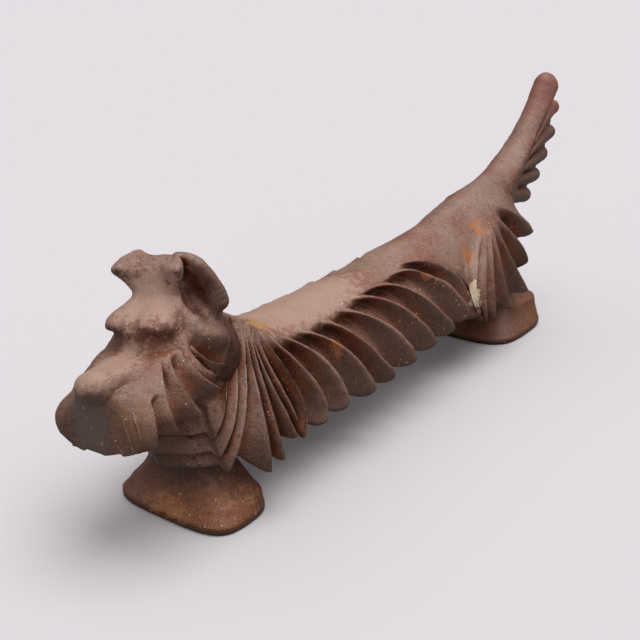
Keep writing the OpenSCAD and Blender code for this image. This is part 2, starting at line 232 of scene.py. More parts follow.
def rod(centre, axis, radius, length, sides=48):
    """Rings of a straight cylinder from a centre along an axis."""
    axis = unit(np.asarray(axis, float))
    u = unit(np.cross(axis, [1, 0, 0] if abs(axis[0]) < 0.9 else [0, 1, 0]))
    v = np.cross(axis, u)
    a = np.linspace(0, 2 * math.pi, sides, endpoint=False)[:, None]
    ring = radius * (np.cos(a) * u + np.sin(a) * v)
    centre = np.asarray(centre, float)
    return [centre + ring, centre + axis * length + ring]


def block(low, high):
    """Rings of a straight box."""
    x0, y0, z0 = low
    x1, y1, z1 = high
    ring = np.array([[x0, y0, z0], [x1, y0, z0], [x1, y1, z0], [x0, y1, z0]], float)
    return [ring, ring + [0, 0, z1 - z0]]


# ---- body and tail ----

# Where the back starts to rise to the rump, and its rise over NAPE_L to the neck
SPINE_START = 0.37 * REAR_Y
NAPE_RISE = 15
NAPE_Y = 20
NAPE_L = 38


def back(y):
    """Height of the log rest at distance y, which rises to the rump."""
    u = max(0.0, y - SPINE_START) / (REAR_Y - SPINE_START)
    return BACK_H + RUMP_RISE * u * u


def spine(y):
    """Height of the back at distance y, which also rises to the neck."""
    v = 1 - np.clip((y - NAPE_Y) / NAPE_L, 0, 1)
    return back(y) + NAPE_RISE * v ** 1.8


class Crest:
    """Ridge of the coat from the back to its tip, with the points above and below it at x = 0."""

    def __init__(self, curve, bottom, groove, kind="flute", top=None):
        self.curve = through(*curve)
        start = self.curve[0]
        self.top = np.array([0, start[1], spine(start[1])] if top is None else top, float)
        self.bottom = np.array(bottom, float)
        self.groove = groove
        self.kind = kind


def root(x, y, drop):
    """Upper end of a crest: half width, distance, and height from the spine."""
    return (x, y, spine(y) + drop)


CHEST_Y = -21
# Root, way and tip of each crest of the mane, and the point below it
MANE_POINTS = [
    # Edge of the neck, then three collars that meet across the chest
    [(7, 24, -2), (20, 7, 67), (18, -7, 59), (0, -13, 57)],
    [(9, 25.2, -1), (21, 4, 68), (27, -6, 55), (26, -11, 47), (0, CHEST_Y, 45)],
    [(10, 26.4, -1), (25, 7, 66), (31, -3, 52), (29, -11, 38), (0, CHEST_Y - 2, 36)],
    [(11, 27.6, -1), (27, 11, 66), (34, -1, 48), (32, -9, 31), (0, CHEST_Y + 1, 28)],
    # Hanging locks
    [(12, 28.8, -2), (31, 14, 63), (41, 9, 42), (42, 9, 26), (0, 6, BELLY_Z)],
    [(13, 30, -2), (30, 19, 65), (40, 16.5, 45), (43, 18, 29), (0, 16, BELLY_Z)],
    [(14.5, 31.2, -3), (30, 23, 65), (40, 23.5, 50), (44, 26, 38), (0, 22, BELLY_Z)],
    # Small lock that lies between the mane and the first rib
    [(16, 32.5, -4), (29, 29, 64), (37, 30, 52), (41.5, 31, 42), (0, 24, BELLY_Z)],
]
MANE_GROOVES = [0.5, 6, 6, 6, 6, 6, 8, 7]


def mane_crests():
    """Three collars that meet across the chest, then the hanging locks."""
    return [Crest([root(*first), *way], bottom, groove)
            for (first, *way, bottom), groove in zip(MANE_POINTS, MANE_GROOVES)]


# Root, two points on the way and tip of each rib's crest
RIB_POINTS = [
    [(17.5, 34.5, -4.5), (33.5, 32, 67), (41.5, 35, 51), (44, 32.5, 34)],
    [(18, 38, -4.5), (30.6, 45, 65.5), (40, 51.7, 49.6), (44, 51, 32)],
    [(18, 46, -5), (28.5, 59, 66.5), (39, 67.7, 51.8), (44, 69, 33)],
    [(18, 60, -5), (29, 76.5, 65.5), (39.7, 88.7, 50), (44, 94, 32)],
    [(17, 77, -4.5), (28.5, 92.5, 65.5), (39.5, 104.5, 50.3), (44, 113.3, 33)],
    [(17, 93, -4.5), (27, 113, 67.4), (38, 128.6, 53.5), (44, 135, 35)],
    [(15.5, 108, -3.8), (24, 131, 71), (36.5, 148, 57.3), (43.5, 157.5, 37)],
    [(15.5, 130, -3.8), (24, 152.5, 71.8), (36.8, 169, 57.4), (42.8, 180, 38)],
    [(14.5, 152, -3.5), (23, 176, 74.5), (35.8, 193, 59.7), (42, 200, 40.3)],
]
RIB_GROOVE = 11.5
# How far the point below a rib lies in front of its tip
RIB_SWEEP = 4


def rib_crests():
    """Flank ribs, steep at the front and swept further back along the flank."""
    return [Crest([root(*first), *way], (0, way[-1][1] - RIB_SWEEP, BELLY_Z), RIB_GROOVE, "rib")
            for first, *way in RIB_POINTS]


# Four points of each fold of the haunch and the point below it; y is from the rear foot's centre
FOLD_POINTS = [
    [(12.5, -133, 79.3), (21.5, -100, 74.5), (30, -83, 60), (40, -76, 35), (-80, BELLY_Z)],
    [(18.5, -43, 82), (23, -62, 75), (32, -80, 60), (40.3, -75, 34), (-79, BELLY_Z)],
    [(20, -41, 82), (29, -60, 71), (35.8, -76, 55), (40.5, -74, 33), (-78, BELLY_Z)],
    [(21.5, -39, 82), (31.5, -55, 67), (38, -66, 50), (41, -69, 32), (-71, BELLY_Z)],
    [(23, -37, 82), (33, -49.5, 66), (38.8, -56, 48), (41.2, -57, 31), (-59, BELLY_Z)],
    [(23.5, -35, 83), (34, -42, 65), (39.4, -41, 46), (41.2, -34, 30), (-36, BELLY_Z)],
    [(23.5, -31, 84.5), (33.5, -28.5, 65), (37.8, -15, 45), (37.5, -2, 32), (6, BELLY_Z)],
    [(21.5, -27, 87.5), (28.5, -18, 76), (33.5, -9, 65), (36, -2.5, 54), (18, BELLY_Z + 6)],
    [(17.5, -23, 92.5), (23.5, -8, 86.5), (27.5, 5, 78), (30, 15.5, 68.5), (25, BELLY_Z + 24)],
]
FOLD_GROOVES = [4, 3.5, 4.5, 5.5, 6.5, 7, 7.5, 10, 0]
# The folds start no higher than the back is here, from the rear foot's centre
FOLD_TOP_Y = -21


def fold_crests():
    """The thigh's lower edge, then the folds of the haunch in a fan from one point."""
    made = []
    for (*points, bottom), groove in zip(FOLD_POINTS, FOLD_GROOVES):
        curve = [np.add(p, (0, REAR_Y, 0)) for p in points]
        top = (0, curve[0][1], min(spine(curve[0][1]), spine(REAR_Y + FOLD_TOP_Y)))
        made.append(Crest(curve, (0, REAR_Y + bottom[0], bottom[1]), groove, "fold", top))
    made[0].kind = "thigh"
    return made


# Points of the tail's upper edge and of its smooth bar's lower edge
TAIL_FRONT = through((0, REAR_Y - 6, 105), (0, REAR_Y + 34, 117.5), (0, REAR_Y + 58, 135.5),
                     (0, REAR_Y + 77, 160.5))
TAIL_BACK = through((3, REAR_Y + 27, 78), (3, REAR_Y + 41, 101), (3, REAR_Y + 60, 120.5),
                    (3, REAR_Y + 92, 149))
# Direction of the tail at its end
TAIL_WAY = np.array([0, 0.55, 0.83])
TAIL_RINGS = 8
# Half thickness of the bar at the rump and at its end, and the shares left in its cap
TAIL_ROOT_R = 14
TAIL_R = 9
TAIL_CAP = (0.97, 0.85, 0.68, 0.45, 0.2)


def tail_crests():
    """Smooth bar of the tail with its rounded end."""
    made = []
    for k in range(TAIL_RINGS):
        t = k / (TAIL_RINGS - 1)
        top, tip = bezier(TAIL_FRONT, t), bezier(TAIL_BACK, t)
        width, sink = mix(TAIL_ROOT_R, TAIL_R, min(1, 1.5 * t)), mix(0.3, 0.36, t)
        bar = [mix(top, tip, down) * [0, 1, 1] + [width * out, 0, 0]
               for down, out in ((sink, 0.9), (sink + 0.2, 1), (0.85, 0.72))]
        made.append(Crest([*bar, tip], (0, tip[1], tip[2]), 0, "tail", top))
    last = made[-1]
    centre = (last.top + last.bottom) / 2
    outline = bezier(last.curve, np.array([0, 0.33, 0.67, 1]))
    for s in TAIL_CAP:
        end = centre + TAIL_R * math.sqrt(1 - s * s) * TAIL_WAY
        made.append(Crest(end + s * (outline - centre), end + s * (last.bottom - centre), 0,
                          "tail", end + s * (last.top - centre)))
    return made


# Root, middle and tip of each feather under the tail (y from the rear foot's centre, z)
FEATHERS = [
    [(54, 120), (71, 131), (87, 136.5), (99, 138)],
    [(43, 110.5), (62, 117), (81, 119.5), (95.5, 120.5)],
    [(29, 101.5), (50, 105), (70, 105.5), (85, 106)],
    [(12, 96), (34, 96), (57, 94), (74.5, 92.5)],
    [(-6, 90), (20, 88), (43, 84), (61.5, 80)],
]
FEATHER_R = (2.6, 4.2, 5.8, 6.4, 5.4)
# Share of a feather's half thickness in its radius, from the root to the end
FEATHER_THIN = (0.25, 0.42, 0.62, 0.85, 1)
# Root and end of the thinner web in each gap between two feathers, and below the last
FEATHER_GAPS = [[(52, 121), (89, 143)], [(46, 114), (90, 129)], [(33, 103), (83, 113)],
                [(15, 97), (70, 100)], [(0, 93), (57, 87)], [(-8, 92), (38, 80)]]
WEB_R = (3, 5.5)
WEB_THIN = (0.6, 1.6)
FEATHER_STEP = 0.8


def make_feathers():
    """Rounded feathers of the tail, each right through its thickness, and the webs between."""
    f = Field((-24, REAR_Y - 30, 64), (24, REAR_Y + 116, 152), FEATHER_STEP)
    for points in FEATHERS:
        line = [(0, REAR_Y + y, z) for y, z in points]
        f.add(f.lock(line, FEATHER_R, 14, FEATHER_THIN), 0.5)
    for gap in FEATHER_GAPS:
        f.add(f.lock([(0, REAR_Y + y, z) for y, z in gap], WEB_R, 6, WEB_THIN), 1)
    return f.mesh("feathers")


# Places on a crest's curve, from its tip to its root
SIDE_T = np.concatenate([np.linspace(1, 0.12, 34), np.linspace(0.1, 0, 5)])
# Points that turn the coat's lower edge under the body, each from the tip
LIP = [(-6, 0.5, 1.0), (-3.2, 0.3, -0.9), (-1.0, 0.1, -0.8)]
LIP_HALF_W = 27
# How far a petal's lower edge rises towards the petal before it, and round its corner
PETAL_H = 6.5
PETAL_ROUND = 4
# How many points of a ring lie under the body, between its middle and the lip
UNDER = 2


def groove_depth(kind, f, t):
    """Share of a groove's depth at f of the way to the next crest and t down it."""
    if kind in ("beard", "tail"):
        return 0 * t
    if kind == "rib":
        return (smooth(f, 0, 0.1) * fade(f, 0.56, 0.4) * smooth(t, 0.04, 0.36)
                * (0.8 + 0.45 * t))
    if kind == "thigh":
        return smooth(f, 0.62, 0.9) * (1 - smooth(f, 0.9, 1)) * smooth(t, 0.1, 0.3) * (1 - t)
    if kind == "fold":
        return (smooth(f, 0, 0.3) * fade(f, 0.3, 0.7) * smooth(t, 0, 0.4)
                * (1 + 0.3 * t ** 3))
    if kind in ("lock", "low"):
        t = smooth(t, 0.25, 1) if kind == "low" else t
        return (smooth(f, 0, 0.22) * fade(f, 0.22, 0.78) ** 0.8 * smooth(t, 0, 0.3)
                * (1 + 0.3 * t ** 3))
    return (smooth(f, 0.02, 0.22) * fade(f, 0.35, 0.6) ** 0.85 * smooth(t, 0, 0.42)
            * (1 + 0.45 * t ** 3))


def hem(kind, f):
    """How far the lower edge of the coat lies above the line from tip to tip."""
    if kind == "fold":
        return 2.5 * smooth(f, 0, 0.15) * (1 - smooth(f, 0.3, 1))
    if kind != "rib":
        return 0
    return (PETAL_H * smooth(f, 0, 0.07) * (1 - smooth(f, 0.1, 0.75))
            + PETAL_ROUND * (smooth(f, 0.75, 1) ** 1.5 + (1 - smooth(f, 0, 0.04))))


def coat_ring(a, b, f):
    """One ring of the coat at share f between two crests."""
    top, bottom = mix(a.top, b.top, f), mix(a.bottom, b.bottom, f)
    centre = (top + bottom) / 2
    side = mix(bezier(a.curve, SIDE_T), bezier(b.curve, SIDE_T), f)
    depth = a.groove * groove_depth(a.kind, f, SIDE_T)
    inward = (centre - side) * [1, 1, 0.35 if a.kind in ("rib", "fold") else 1]
    side = side + unit(inward) * depth[:, None]
    side[:, 2] += hem(a.kind, f) * smooth(SIDE_T, 0.72, 1)
    low, high = side[0], side[-1]
    lip = [low + np.array(d) * min(1, low[0] / LIP_HALF_W) for d in LIP]
    under = [np.array([low[0] * s, mix(bottom[1], low[1], s), mix(bottom[2], low[2] + 1, s)])
             for s in np.linspace(0.3, 0.6, UNDER)]
    shoulder = [top + (high - top) * [s, s * s, s * s] for s in (0.88, 0.74, 0.58, 0.4, 0.2)]
    half = np.array([*under, *lip, *side, *shoulder])
    return np.concatenate([[bottom], half * [-1, 1, 1], [top], half[::-1]])


def neck_ring(count):
    """Round face of the neck, with as many points as a ring of the coat."""
    a = 2 * math.pi * np.arange(count) / count - math.pi / 2
    side, up = -NECK_R * np.cos(a), NECK_R * np.sin(a)
    return NECK_MID + np.stack([side, up * math.sin(NECK_TILT), up * math.cos(NECK_TILT)], 1)


def gap_steps(a, b):
    """How many rings lie between two crests, more where they are far apart."""
    width = np.linalg.norm(a.curve[3] - b.curve[3])
    return int(np.clip(width * 2, 14, 56))


def relax(rings, share, rounds):
    """Evens out a grid: share is how far each point moves to the middle of its neighbours."""
    rings = np.array(rings)
    for _ in range(rounds):
        middle = (rings[:-2, 1:-1] + rings[2:, 1:-1] + rings[1:-1, :-2] + rings[1:-1, 2:]) / 4
        rings[1:-1, 1:-1] += (middle - rings[1:-1, 1:-1]) * share[1:-1, 1:-1, None]
    return rings


def arch(y, half_w, low, high, power=2.3, steps=40):
    """Arch across the body at distance y, flat along its lower edge."""
    a = np.linspace(0, math.pi, steps)
    c, s = np.cos(a), np.sin(a)
    return np.stack([-half_w * np.sign(c) * abs(c) ** (2 / power), np.full(steps, float(y)),
                     low + (high - low) * abs(s) ** (2 / power)], 1)


CAVITY_FLOOR = -10
CAVITY_Y = [12, 60, 100, 140, 175, 205, 230, 252, 272, REAR_Y, REAR_Y + 11]
# How much narrower the cavity's last arch is on each side
CAVITY_END = 7
# Half the width and depth of the solid slab over each foot
SLAB_HALF = (30, 15)


def body_cavity():
    """Open hollow of the body casting, without the slab over each foot."""
    half_w = LIP_HALF_W - WALL
    rings = [arch(-14, half_w - 2, CAVITY_FLOOR, SEAT_Z + 4, 6),
             arch(-3, half_w - 1, CAVITY_FLOOR, SEAT_Z + 5, 6),
             arch(4, half_w, CAVITY_FLOOR, BACK_H - 14, 3)]
    for y in CAVITY_Y:
        narrow = CAVITY_END if y > REAR_Y else 0
        rings.append(arch(y, half_w - narrow, CAVITY_FLOOR, back(y) - WALL - 1 - 2 * narrow))
    hollow = skin("cavity", rings)
    slab_x, slab_y = SLAB_HALF
    slabs = [skin("slab", block((-slab_x, y - slab_y, SEAT_Z),
                                (slab_x, y + slab_y, SEAT_Z + SEAT_T)))
             for y in (0, REAR_Y)]
    combine(hollow, "DIFFERENCE", slabs)
    return hollow


# Where the crests fade out: on the thigh, and along both edges of the log rest
THIGH_Y = (165, 185, 232, 252)
THIGH_Z = (66, 74)
THIGH_ROUNDS = 70
EDGE_Y = (30, 50, 270, 300)
EDGE_POINTS = (8, 16)
EDGE_ROUNDS = 16


def fade_crests(rings):
    """Smooths the thigh and both edges of the log rest."""
    y, z = rings[..., 1], rings[..., 2]
    count = rings.shape[1]
    from_top = abs(np.arange(count) - count // 2)[None]
    thigh = window(y, *THIGH_Y) * smooth(z, *THIGH_Z)
    edge = window(y, *EDGE_Y) * (1 - smooth(from_top, *EDGE_POINTS))
    rings = relax(rings, 0.9 * thigh * (from_top > 1), THIGH_ROUNDS)
    return relax(rings, 0.85 * edge * (from_top > 1), EDGE_ROUNDS)


def make_body():
    crests = mane_crests() + rib_crests() + fold_crests() + tail_crests()
    rings = []
    for a, b in zip(crests, crests[1:]):
        steps = gap_steps(a, b)
        share = np.arange(steps) / steps
        share = share - 0.09 * np.sin(2 * math.pi * share)
        rings += [coat_ring(a, b, f) for f in share]
    rings.append(coat_ring(crests[-1], crests[-1], 0))
    rings = list(fade_crests(np.array(rings)))
    neck = neck_ring(len(rings[0]))
    lead = [mix(neck, rings[0], s) for s in (0, 0.25, 0.5, 0.75)]
    body = skin("body_shell", lead + rings)
    combine(body, "UNION", [make_feathers()])
    roughen(body, 0.45, lambda p: smooth(p @ NECK_AXIS - NECK_MID @ NECK_AXIS, 0.5, 6))
    tools = [body_cavity()]
    tools.append(skin("bore", rod(NECK_MID - NECK_AXIS, NECK_AXIS, BORE_D / 2, NECK_WALL + 2)))
    tools.append(skin("room", rod(NECK_MID + NECK_AXIS * NECK_WALL, NECK_AXIS, NUT_ROOM_R,
                                  STUD_ROOM_L)))
    for y in (0, REAR_Y):
        for x in (-BOLT_X, BOLT_X):
            tools.append(skin("bore", rod((x, y, SEAT_Z - 1), (0, 0, 1), BORE_D / 2, SEAT_T + 2)))
    for x in (-BOLT_X, BOLT_X):
        for radius, height in ((NUT_ROOM_R, NUT_ROOM_H), (BOLT_END_R, BOLT_END_H)):
            tools.append(skin("room", rod((x, 0, SEAT_Z + SEAT_T), (0, 0, 1), radius, height)))
    combine(body, "DIFFERENCE", tools)
    return body


# ---- head ----

HEAD_TURN = math.radians(10)
HEAD_STEP = 0.55
BEARD_FRONT_Y = -61.5
STUD_BORE_R = 4.05
STUD_BORE_L = 25
# Radius and length of what is cut off the head behind the neck's face
BEHIND_NECK = (60, 40)


def turned(points):
    """The head's points after its turn on the stud, which lifts its left side."""
    q = points - NECK_MID
    along = (q @ NECK_AXIS)[:, None] * NECK_AXIS
    across = q - along
    return (NECK_MID + along + across * math.cos(HEAD_TURN)
            - np.cross(NECK_AXIS, across) * math.sin(HEAD_TURN))


def spline(knots, values, q):
    """Natural cubic curve through the values at the knots, at the places q."""
    x, y, q = np.asarray(knots, float), np.asarray(values, float), np.asarray(q, float)
    h = np.diff(x)
    slope = np.diff(y, axis=0) / h.reshape(-1, *[1] * (y.ndim - 1))
    matrix, right = np.eye(len(x)), np.zeros(y.shape)
    for i in range(1, len(x) - 1):
        matrix[i, i - 1:i + 2] = h[i - 1], 2 * (h[i - 1] + h[i]), h[i]
        right[i] = 6 * (slope[i] - slope[i - 1])
    c = np.linalg.solve(matrix, right.reshape(len(x), -1)).reshape(y.shape)
    i = np.clip(np.searchsorted(x, q) - 1, 0, len(x) - 2)
    shape = (-1, *[1] * (y.ndim - 1))
    w, b, a = h[i].reshape(shape), (q - x[i]).reshape(shape), (x[i + 1] - q).reshape(shape)
    return ((c[i] * a ** 3 + c[i + 1] * b ** 3) / (6 * w) + (y[i] / w - c[i] * w / 6) * a
            + (y[i + 1] / w - c[i + 1] * w / 6) * b)


def rounded_max(a, b, blend):
    """The larger of two distances, rounded where they are alike."""
    h = np.maximum(blend - abs(a - b), 0) / blend
    return np.maximum(a, b) + h * h * blend / 4


class Field:
    """Signed distances on a grid of points, in millimetres.

    Each shape is a part of the grid round it and its distances there.
    """

    SPARE = 7

    def __init__(self, low, high, step):
        self.low, self.step = np.array(low, float), step
        counts = np.ceil((np.array(high) - self.low) / step).astype(int) + 1
        self.axes = [self.low[i] + step * np.arange(counts[i]) for i in range(3)]
        self.d = np.full(counts, 50.0, np.float32)

    def near(self, points, reach):
        """Part of the grid within reach of the points, and its places."""
        points = np.atleast_2d(points)
        low, high = points.min(0) - reach - self.SPARE, points.max(0) + reach + self.SPARE
        region = tuple(slice(*np.searchsorted(axis, (a, b)))
                       for axis, a, b in zip(self.axes, low, high))
        grid = np.meshgrid(*[axis[part] for axis, part in zip(self.axes, region)], indexing="ij")
        return region, np.stack(grid, -1).astype(np.float32)

    def ball(self, centre, radii):
        r = np.array(radii, np.float32)
        region, p = self.near(centre, r)
        q = p - np.array(centre, np.float32)
        k0 = np.linalg.norm(q / r, axis=-1)
        k1 = np.linalg.norm(q / (r * r), axis=-1)
        return region, k0 * (k0 - 1) / np.maximum(k1, 1e-6)

    def box(self, centre, half, rounding):
        region, p = self.near(centre, np.array(half))
        q = abs(p - np.array(centre, np.float32)) - (np.array(half, np.float32) - rounding)
        outside = np.linalg.norm(np.maximum(q, 0), axis=-1)
        return region, outside + np.minimum(q.max(-1), 0) - rounding

    def lock(self, points, radii, pieces=7, thin=(1, 1)):
        """Rod along the curve through the points, with the radii spread along it.

        Where thin changes, the rod lies in the plane x = 0, as wide as its radius over thin.
        """
        t = np.linspace(0, 1, pieces + 1)
        if len(points) > 2:
            line = bezier(through(*points), t)
        else:
            line = mix(np.array(points[0], float), np.array(points[1], float), t[:, None])
        size = np.interp(t, np.linspace(0, 1, len(radii)), radii)
        shares = np.interp(t, np.linspace(0, 1, len(thin)), thin)
        region, p = self.near(line, size.max() / min(thin))
        best = np.full(p.shape[:3], 50.0, np.float32)
        for a, b, size_a, size_b, thin_a, thin_b in zip(line, line[1:], size, size[1:],
                                                        shares, shares[1:]):
            q, axis = p - a.astype(np.float32), (b - a).astype(np.float32)
            h = np.clip(q @ axis / (axis @ axis), 0, 1)
            if min(thin) != max(thin):
                q[..., 0] *= thin_a + (thin_b - thin_a) * h
            best = np.minimum(best, np.linalg.norm(q - h[..., None] * axis, axis=-1)
                              - (size_a + (size_b - size_a) * h))
        return region, best

    def add(self, shape, blend):
        region, d = shape
        old = self.d[region]
        h = np.maximum(blend - abs(old - d), 0) / blend
        self.d[region] = np.minimum(old, d) - h * h * blend / 4

    def mesh(self, name):
        """Mesh of the surface where the distance is nought."""
        grid = openvdb.FloatGrid(50.0)
        grid.copyFromArray(self.d)
        points, quads = grid.convertToQuads(0.0)
        points = np.array(points, float) * self.step + self.low
        return add_mesh(name, points, np.array(quads)[:, ::-1].tolist())


# Beard and cheeks, from the front back to the neck: root, way and tip of each crest, the
# points below and above it, its groove and its kind
CHEEKS = [
    ([(8.5, -60, 82), (9.5, -61, 75), (9.5, -61, 65), (12, -60.5, 55)],
     (0, -60, 53.5), (0, -57, 84), 0, "beard"),
    ([(15, -47.2, 83.6), (20.5, -50.2, 78.4), (27.5, -55.5, 71), (27.5, -57, 59.5)],
     (0, -55, 54), (0, -46, 84), 5, "low"),
    ([(17, -35.5, 88.8), (22, -41, 82.8), (28, -47, 73), (29.5, -45.8, 61.5)],
     (0, -43, 56), (0, -36, 88), 4.5, "lock"),
    ([(19, -31.2, 89.1), (24.2, -36, 82.8), (29.5, -35.5, 72.5), (31, -31.5, 63)],
     (0, -30, 60), (0, -30, 90), 5.5, "lock"),
    ([(20, -21.6, 90.3), (24.5, -25.9, 85), (29, -24, 77.5), (30, -15.7, 69)],
     (0, -17, 62), (0, -20, 92), 6, "lock"),
    ([(22, -19, 88.4), (25, -16.4, 83), (26, -9.9, 78.4), (24, -2, 75)],
     (0, -8, 62), (0, -14, 94), 1.5, "lock"),
]
# Places of the two ridges and of the step in the beard's lower edge, from front to side
BEARD_RIDGES = (0.3, 0.58)
BEARD_STEP = 0.43


def beard_ring(a, b, f):
    """Ring that turns from the beard's flat front into its side, with two thin ridges."""
    ring = coat_ring(a, b, f)
    ring[:, 1] = coat_ring(a, b, f ** 1.7)[:, 1]
    ridge = sum(np.exp(-((f - place) / 0.016) ** 2) for place in BEARD_RIDGES)
    out = 0.8 * ridge * smooth(SIDE_T, 0.35, 0.6)
    lift = 2.8 * smooth(f, BEARD_STEP - 0.02, BEARD_STEP + 0.02) * (1 - smooth(f, 0.6, 1))
    first = 1 + UNDER + len(LIP)
    for side, start, way in ((-1, first, 1), (1, len(ring) - first, -1)):
        index = start + way * np.arange(len(SIDE_T))
        ring[index, 0] += side * out * 0.5
        ring[index, 1] -= out
        ring[index, 2] += lift * smooth(SIDE_T, 0.8, 1.0)
    return ring


def make_cheeks():
    crests = [Crest(curve, bottom, groove, kind, top)
              for curve, bottom, top, groove, kind in CHEEKS]
    rings = []
    for k, (a, b) in enumerate(zip(crests, crests[1:])):
        share = np.linspace(0, 1, 60 if k == 0 else 30, endpoint=False)
        rings += [(beard_ring if k == 0 else coat_ring)(a, b, f) for f in share]
    rings.append(coat_ring(crests[-1], crests[-1], 0))
    first = rings[0]
    middle = first.mean(0)
    lead = []
    for s in (0.1, 0.4, 0.7, 0.85, 0.95):
        ring = middle + (first - middle) * s
        ring[:, 1] = BEARD_FRONT_Y + (first[:, 1] - BEARD_FRONT_Y) * s ** 8
        lead.append(ring)
    return skin("cheeks", lead + rings)


# Front of the brow and forehead: at each height, how far y the face lies at each half width
FACE_X = [0, 3, 7, 11, 15, 19, 24]
FACE_FRONT = {
    84: [-36, -36, -36, -36, -34, -27, -16],
    87.5: [-31, -31, -31.5, -32.5, -31, -26, -15],
    90.5: [-31, -29.5, -28, -28.5, -28, -24.5, -14.5],
    93.5: [-31.8, -30.2, -26.8, -26, -26, -23.5, -14],
    96: [-32.2, -32, -28.6, -27, -27, -23.8, -14],
    98.5: [-31.5, -32.5, -32.3, -32.2, -30.8, -25, -14],
    101: [-30, -31.5, -33.4, -33.8, -31, -23.5, -13],
    104.5: [-26, -27, -29, -29, -25.5, -18, -9],
    108: [-20.5, -20.5, -20.5, -18, -13, -9, -6],
    112: [-17.3, -17.2, -16.6, -15, -13, -12, -11],
    117: [-15.2, -15.2, -15.2, -15.3, -15.5, -15.5, -15],
    122: [-12.8, -13.1, -14, -15.4, -17.2, -18.3, -18],
    126: [-8.5, -9, -10.2, -11.8, -13.2, -14, -14],
    130: [-3, -3.5, -5, -6.5, -8, -9, -9],
}
# Half width of the face at each height
FACE_WIDE = {84: 17, 88: 17.5, 92: 17.8, 97: 18, 101: 17.5, 105: 15.5, 108.5: 13.6, 112: 14.8,
             116: 17.2, 119: 18.8, 122: 19.2, 125: 18.4, 128: 15.5, 131: 11}
# Height of the ridge between the ears at each x
FACE_TOP = {-24: 117, -21: 122, -18: 125.8, -15: 127.8, -12: 128, -8: 127.6, -4: 127.2, 0: 126.8,
            4: 126.2, 8: 125.6, 12: 125.6, 15: 127.4, 18: 125.8, 21: 122, 24: 117}
FACE_BACK = {84: -4, 100: -6, 106: -8, 112: -9, 122: -8.5, 130: -4}


def read_table(table, q):
    """Smooth curve through a table's values, at the places q."""
    return spline(list(table), list(table.values()), q)


def face(field):
    """Forehead with its heart-shaped brow and the fronts of the ears."""
    region, p = field.near([(-21, -32, 88), (21, -2, 127)], 1)
    x, z = p[:, 0, 0, 0], p[0, 0, :, 2]
    rows = read_table(FACE_FRONT, z)
    front = spline(FACE_X, rows.T, abs(x))
    lean = np.gradient(front, field.step)
    steep = np.sqrt(1 + np.clip(lean[0] ** 2 + lean[1] ** 2, 0, 4))
    d = (front[:, None, :] - p[..., 1]) / steep[:, None, :]
    wide = read_table(FACE_WIDE, z)
    d = rounded_max(d, (abs(p[..., 0]) - wide) * 0.9, 1.6)
    top = read_table(FACE_TOP, x)
    d = rounded_max(d, (p[..., 2] - top[:, None, None]) * 0.95, 3)
    back = read_table(FACE_BACK, z)
    d = rounded_max(d, p[..., 1] - (back - 4 * smooth(abs(p[..., 0]), 10, 16)), 2)
    return region, d.astype(np.float32)


def on_side(side, *points):
    """Points given for the left side, mirrored where side is -1."""
    return [(side * x, y, z) for x, y, z in points]


def make_skull():
    f = Field((-37, -67, 44), (37, 20, 135), HEAD_STEP)
    f.add(f.ball((0, -4, 106), (11.5, 12, 19)), 1)
    f.add(f.lock([(0, -14, 84), (0, 4, 76.5)], (20, 22.8), 1), 6)
    f.add(f.ball((0, -8, 92), (20.5, 15, 13)), 6)
    f.add(f.ball((0, 3, 97), (21, 12, 9)), 5)
    for side in (1, -1):
        # Rear rim of the ear, and the web that joins it to the skull
        rim = on_side(side, (11, -7, 125.2), (18.5, -5, 122.5), (22, -1, 114.5),
                      (21.5, 2.5, 103))
        f.add(f.lock(rim, (2, 2.5, 3, 5), 12), 2.5)
        for inner, outer in (((6, -2, 118), (16.5, -4.5, 120)), ((8, 2, 112), (19.5, -1, 113)),
                             ((8, 3, 104), (19, 1.5, 105)), ((8, 0, 98), (18, 0, 98))):
            f.add(f.lock(on_side(side, inner, outer), (5, 3.2), 1), 4)
        # Roll of hair below the ear, and the thick lock under it
        roll = on_side(side, (18, -11, 96), (20.5, -10, 91), (21.5, -4, 88), (20, 2, 85))
        f.add(f.lock(roll, (4, 5, 5, 3)), 6)
        under = on_side(side, (19, -22, 91), (21.5, -24, 86), (24.5, -22.5, 79.5),
                        (25, -15.5, 74.5))
        f.add(f.lock(under, (2, 3, 3.4, 2)), 5)
    f.add(face(f), 2.2)
    # Muzzle, cheeks and nose
    f.add(f.box((0, -34, 76), (19, 12, 11), 8), 4)
    for side in (1, -1):
        cheek = on_side(side, (8.5, -38, 76.5), (2.5, -54, 80.5))
        f.add(f.lock(cheek, (10.3, 6.6), 1), 4)
    f.add(f.box((0, -42, 81.8), (10.5, 20, 6.4), 5), 4)
    f.add(f.ball((0, -56, 82.3), (10.3, 8.6, 6.4)), 2)
    return f.mesh("head")


def make_head():
    head = make_skull()
    combine(head, "UNION", [make_cheeks()])
    set_points(head, turned(points_of(head)))
    roughen(head, 0.4, lambda p: smooth(NECK_MID @ NECK_AXIS - p @ NECK_AXIS, 0.3, 4))
    behind_neck = rod(NECK_MID, NECK_AXIS, *BEHIND_NECK)
    bore = rod(NECK_MID + NECK_AXIS, -NECK_AXIS, STUD_BORE_R, STUD_BORE_L)
    combine(head, "DIFFERENCE", [skin("behind", behind_neck), skin("bore", bore)])
    return head


# ---- feet ----

# Height of the upright rim, and half the width and depth of a foot where the body sits
FOOT_RIM = 4
NECK_HALF = (18.05, 12)
# Height up to which the back of each foot stays wide
FRONT_HEEL = 10
REAR_HEEL = 19
FOOT_PLATE_T = 6
# Half the width and depth of the pocket for the bolt heads, and its height
POCKET_HALF = (16.25, 6.75)
POCKET_H = 10
# How far the lower edge is worn back at each height
WORN = {0: 1.2, 0.5: 0.5, 1.2: 0.1}


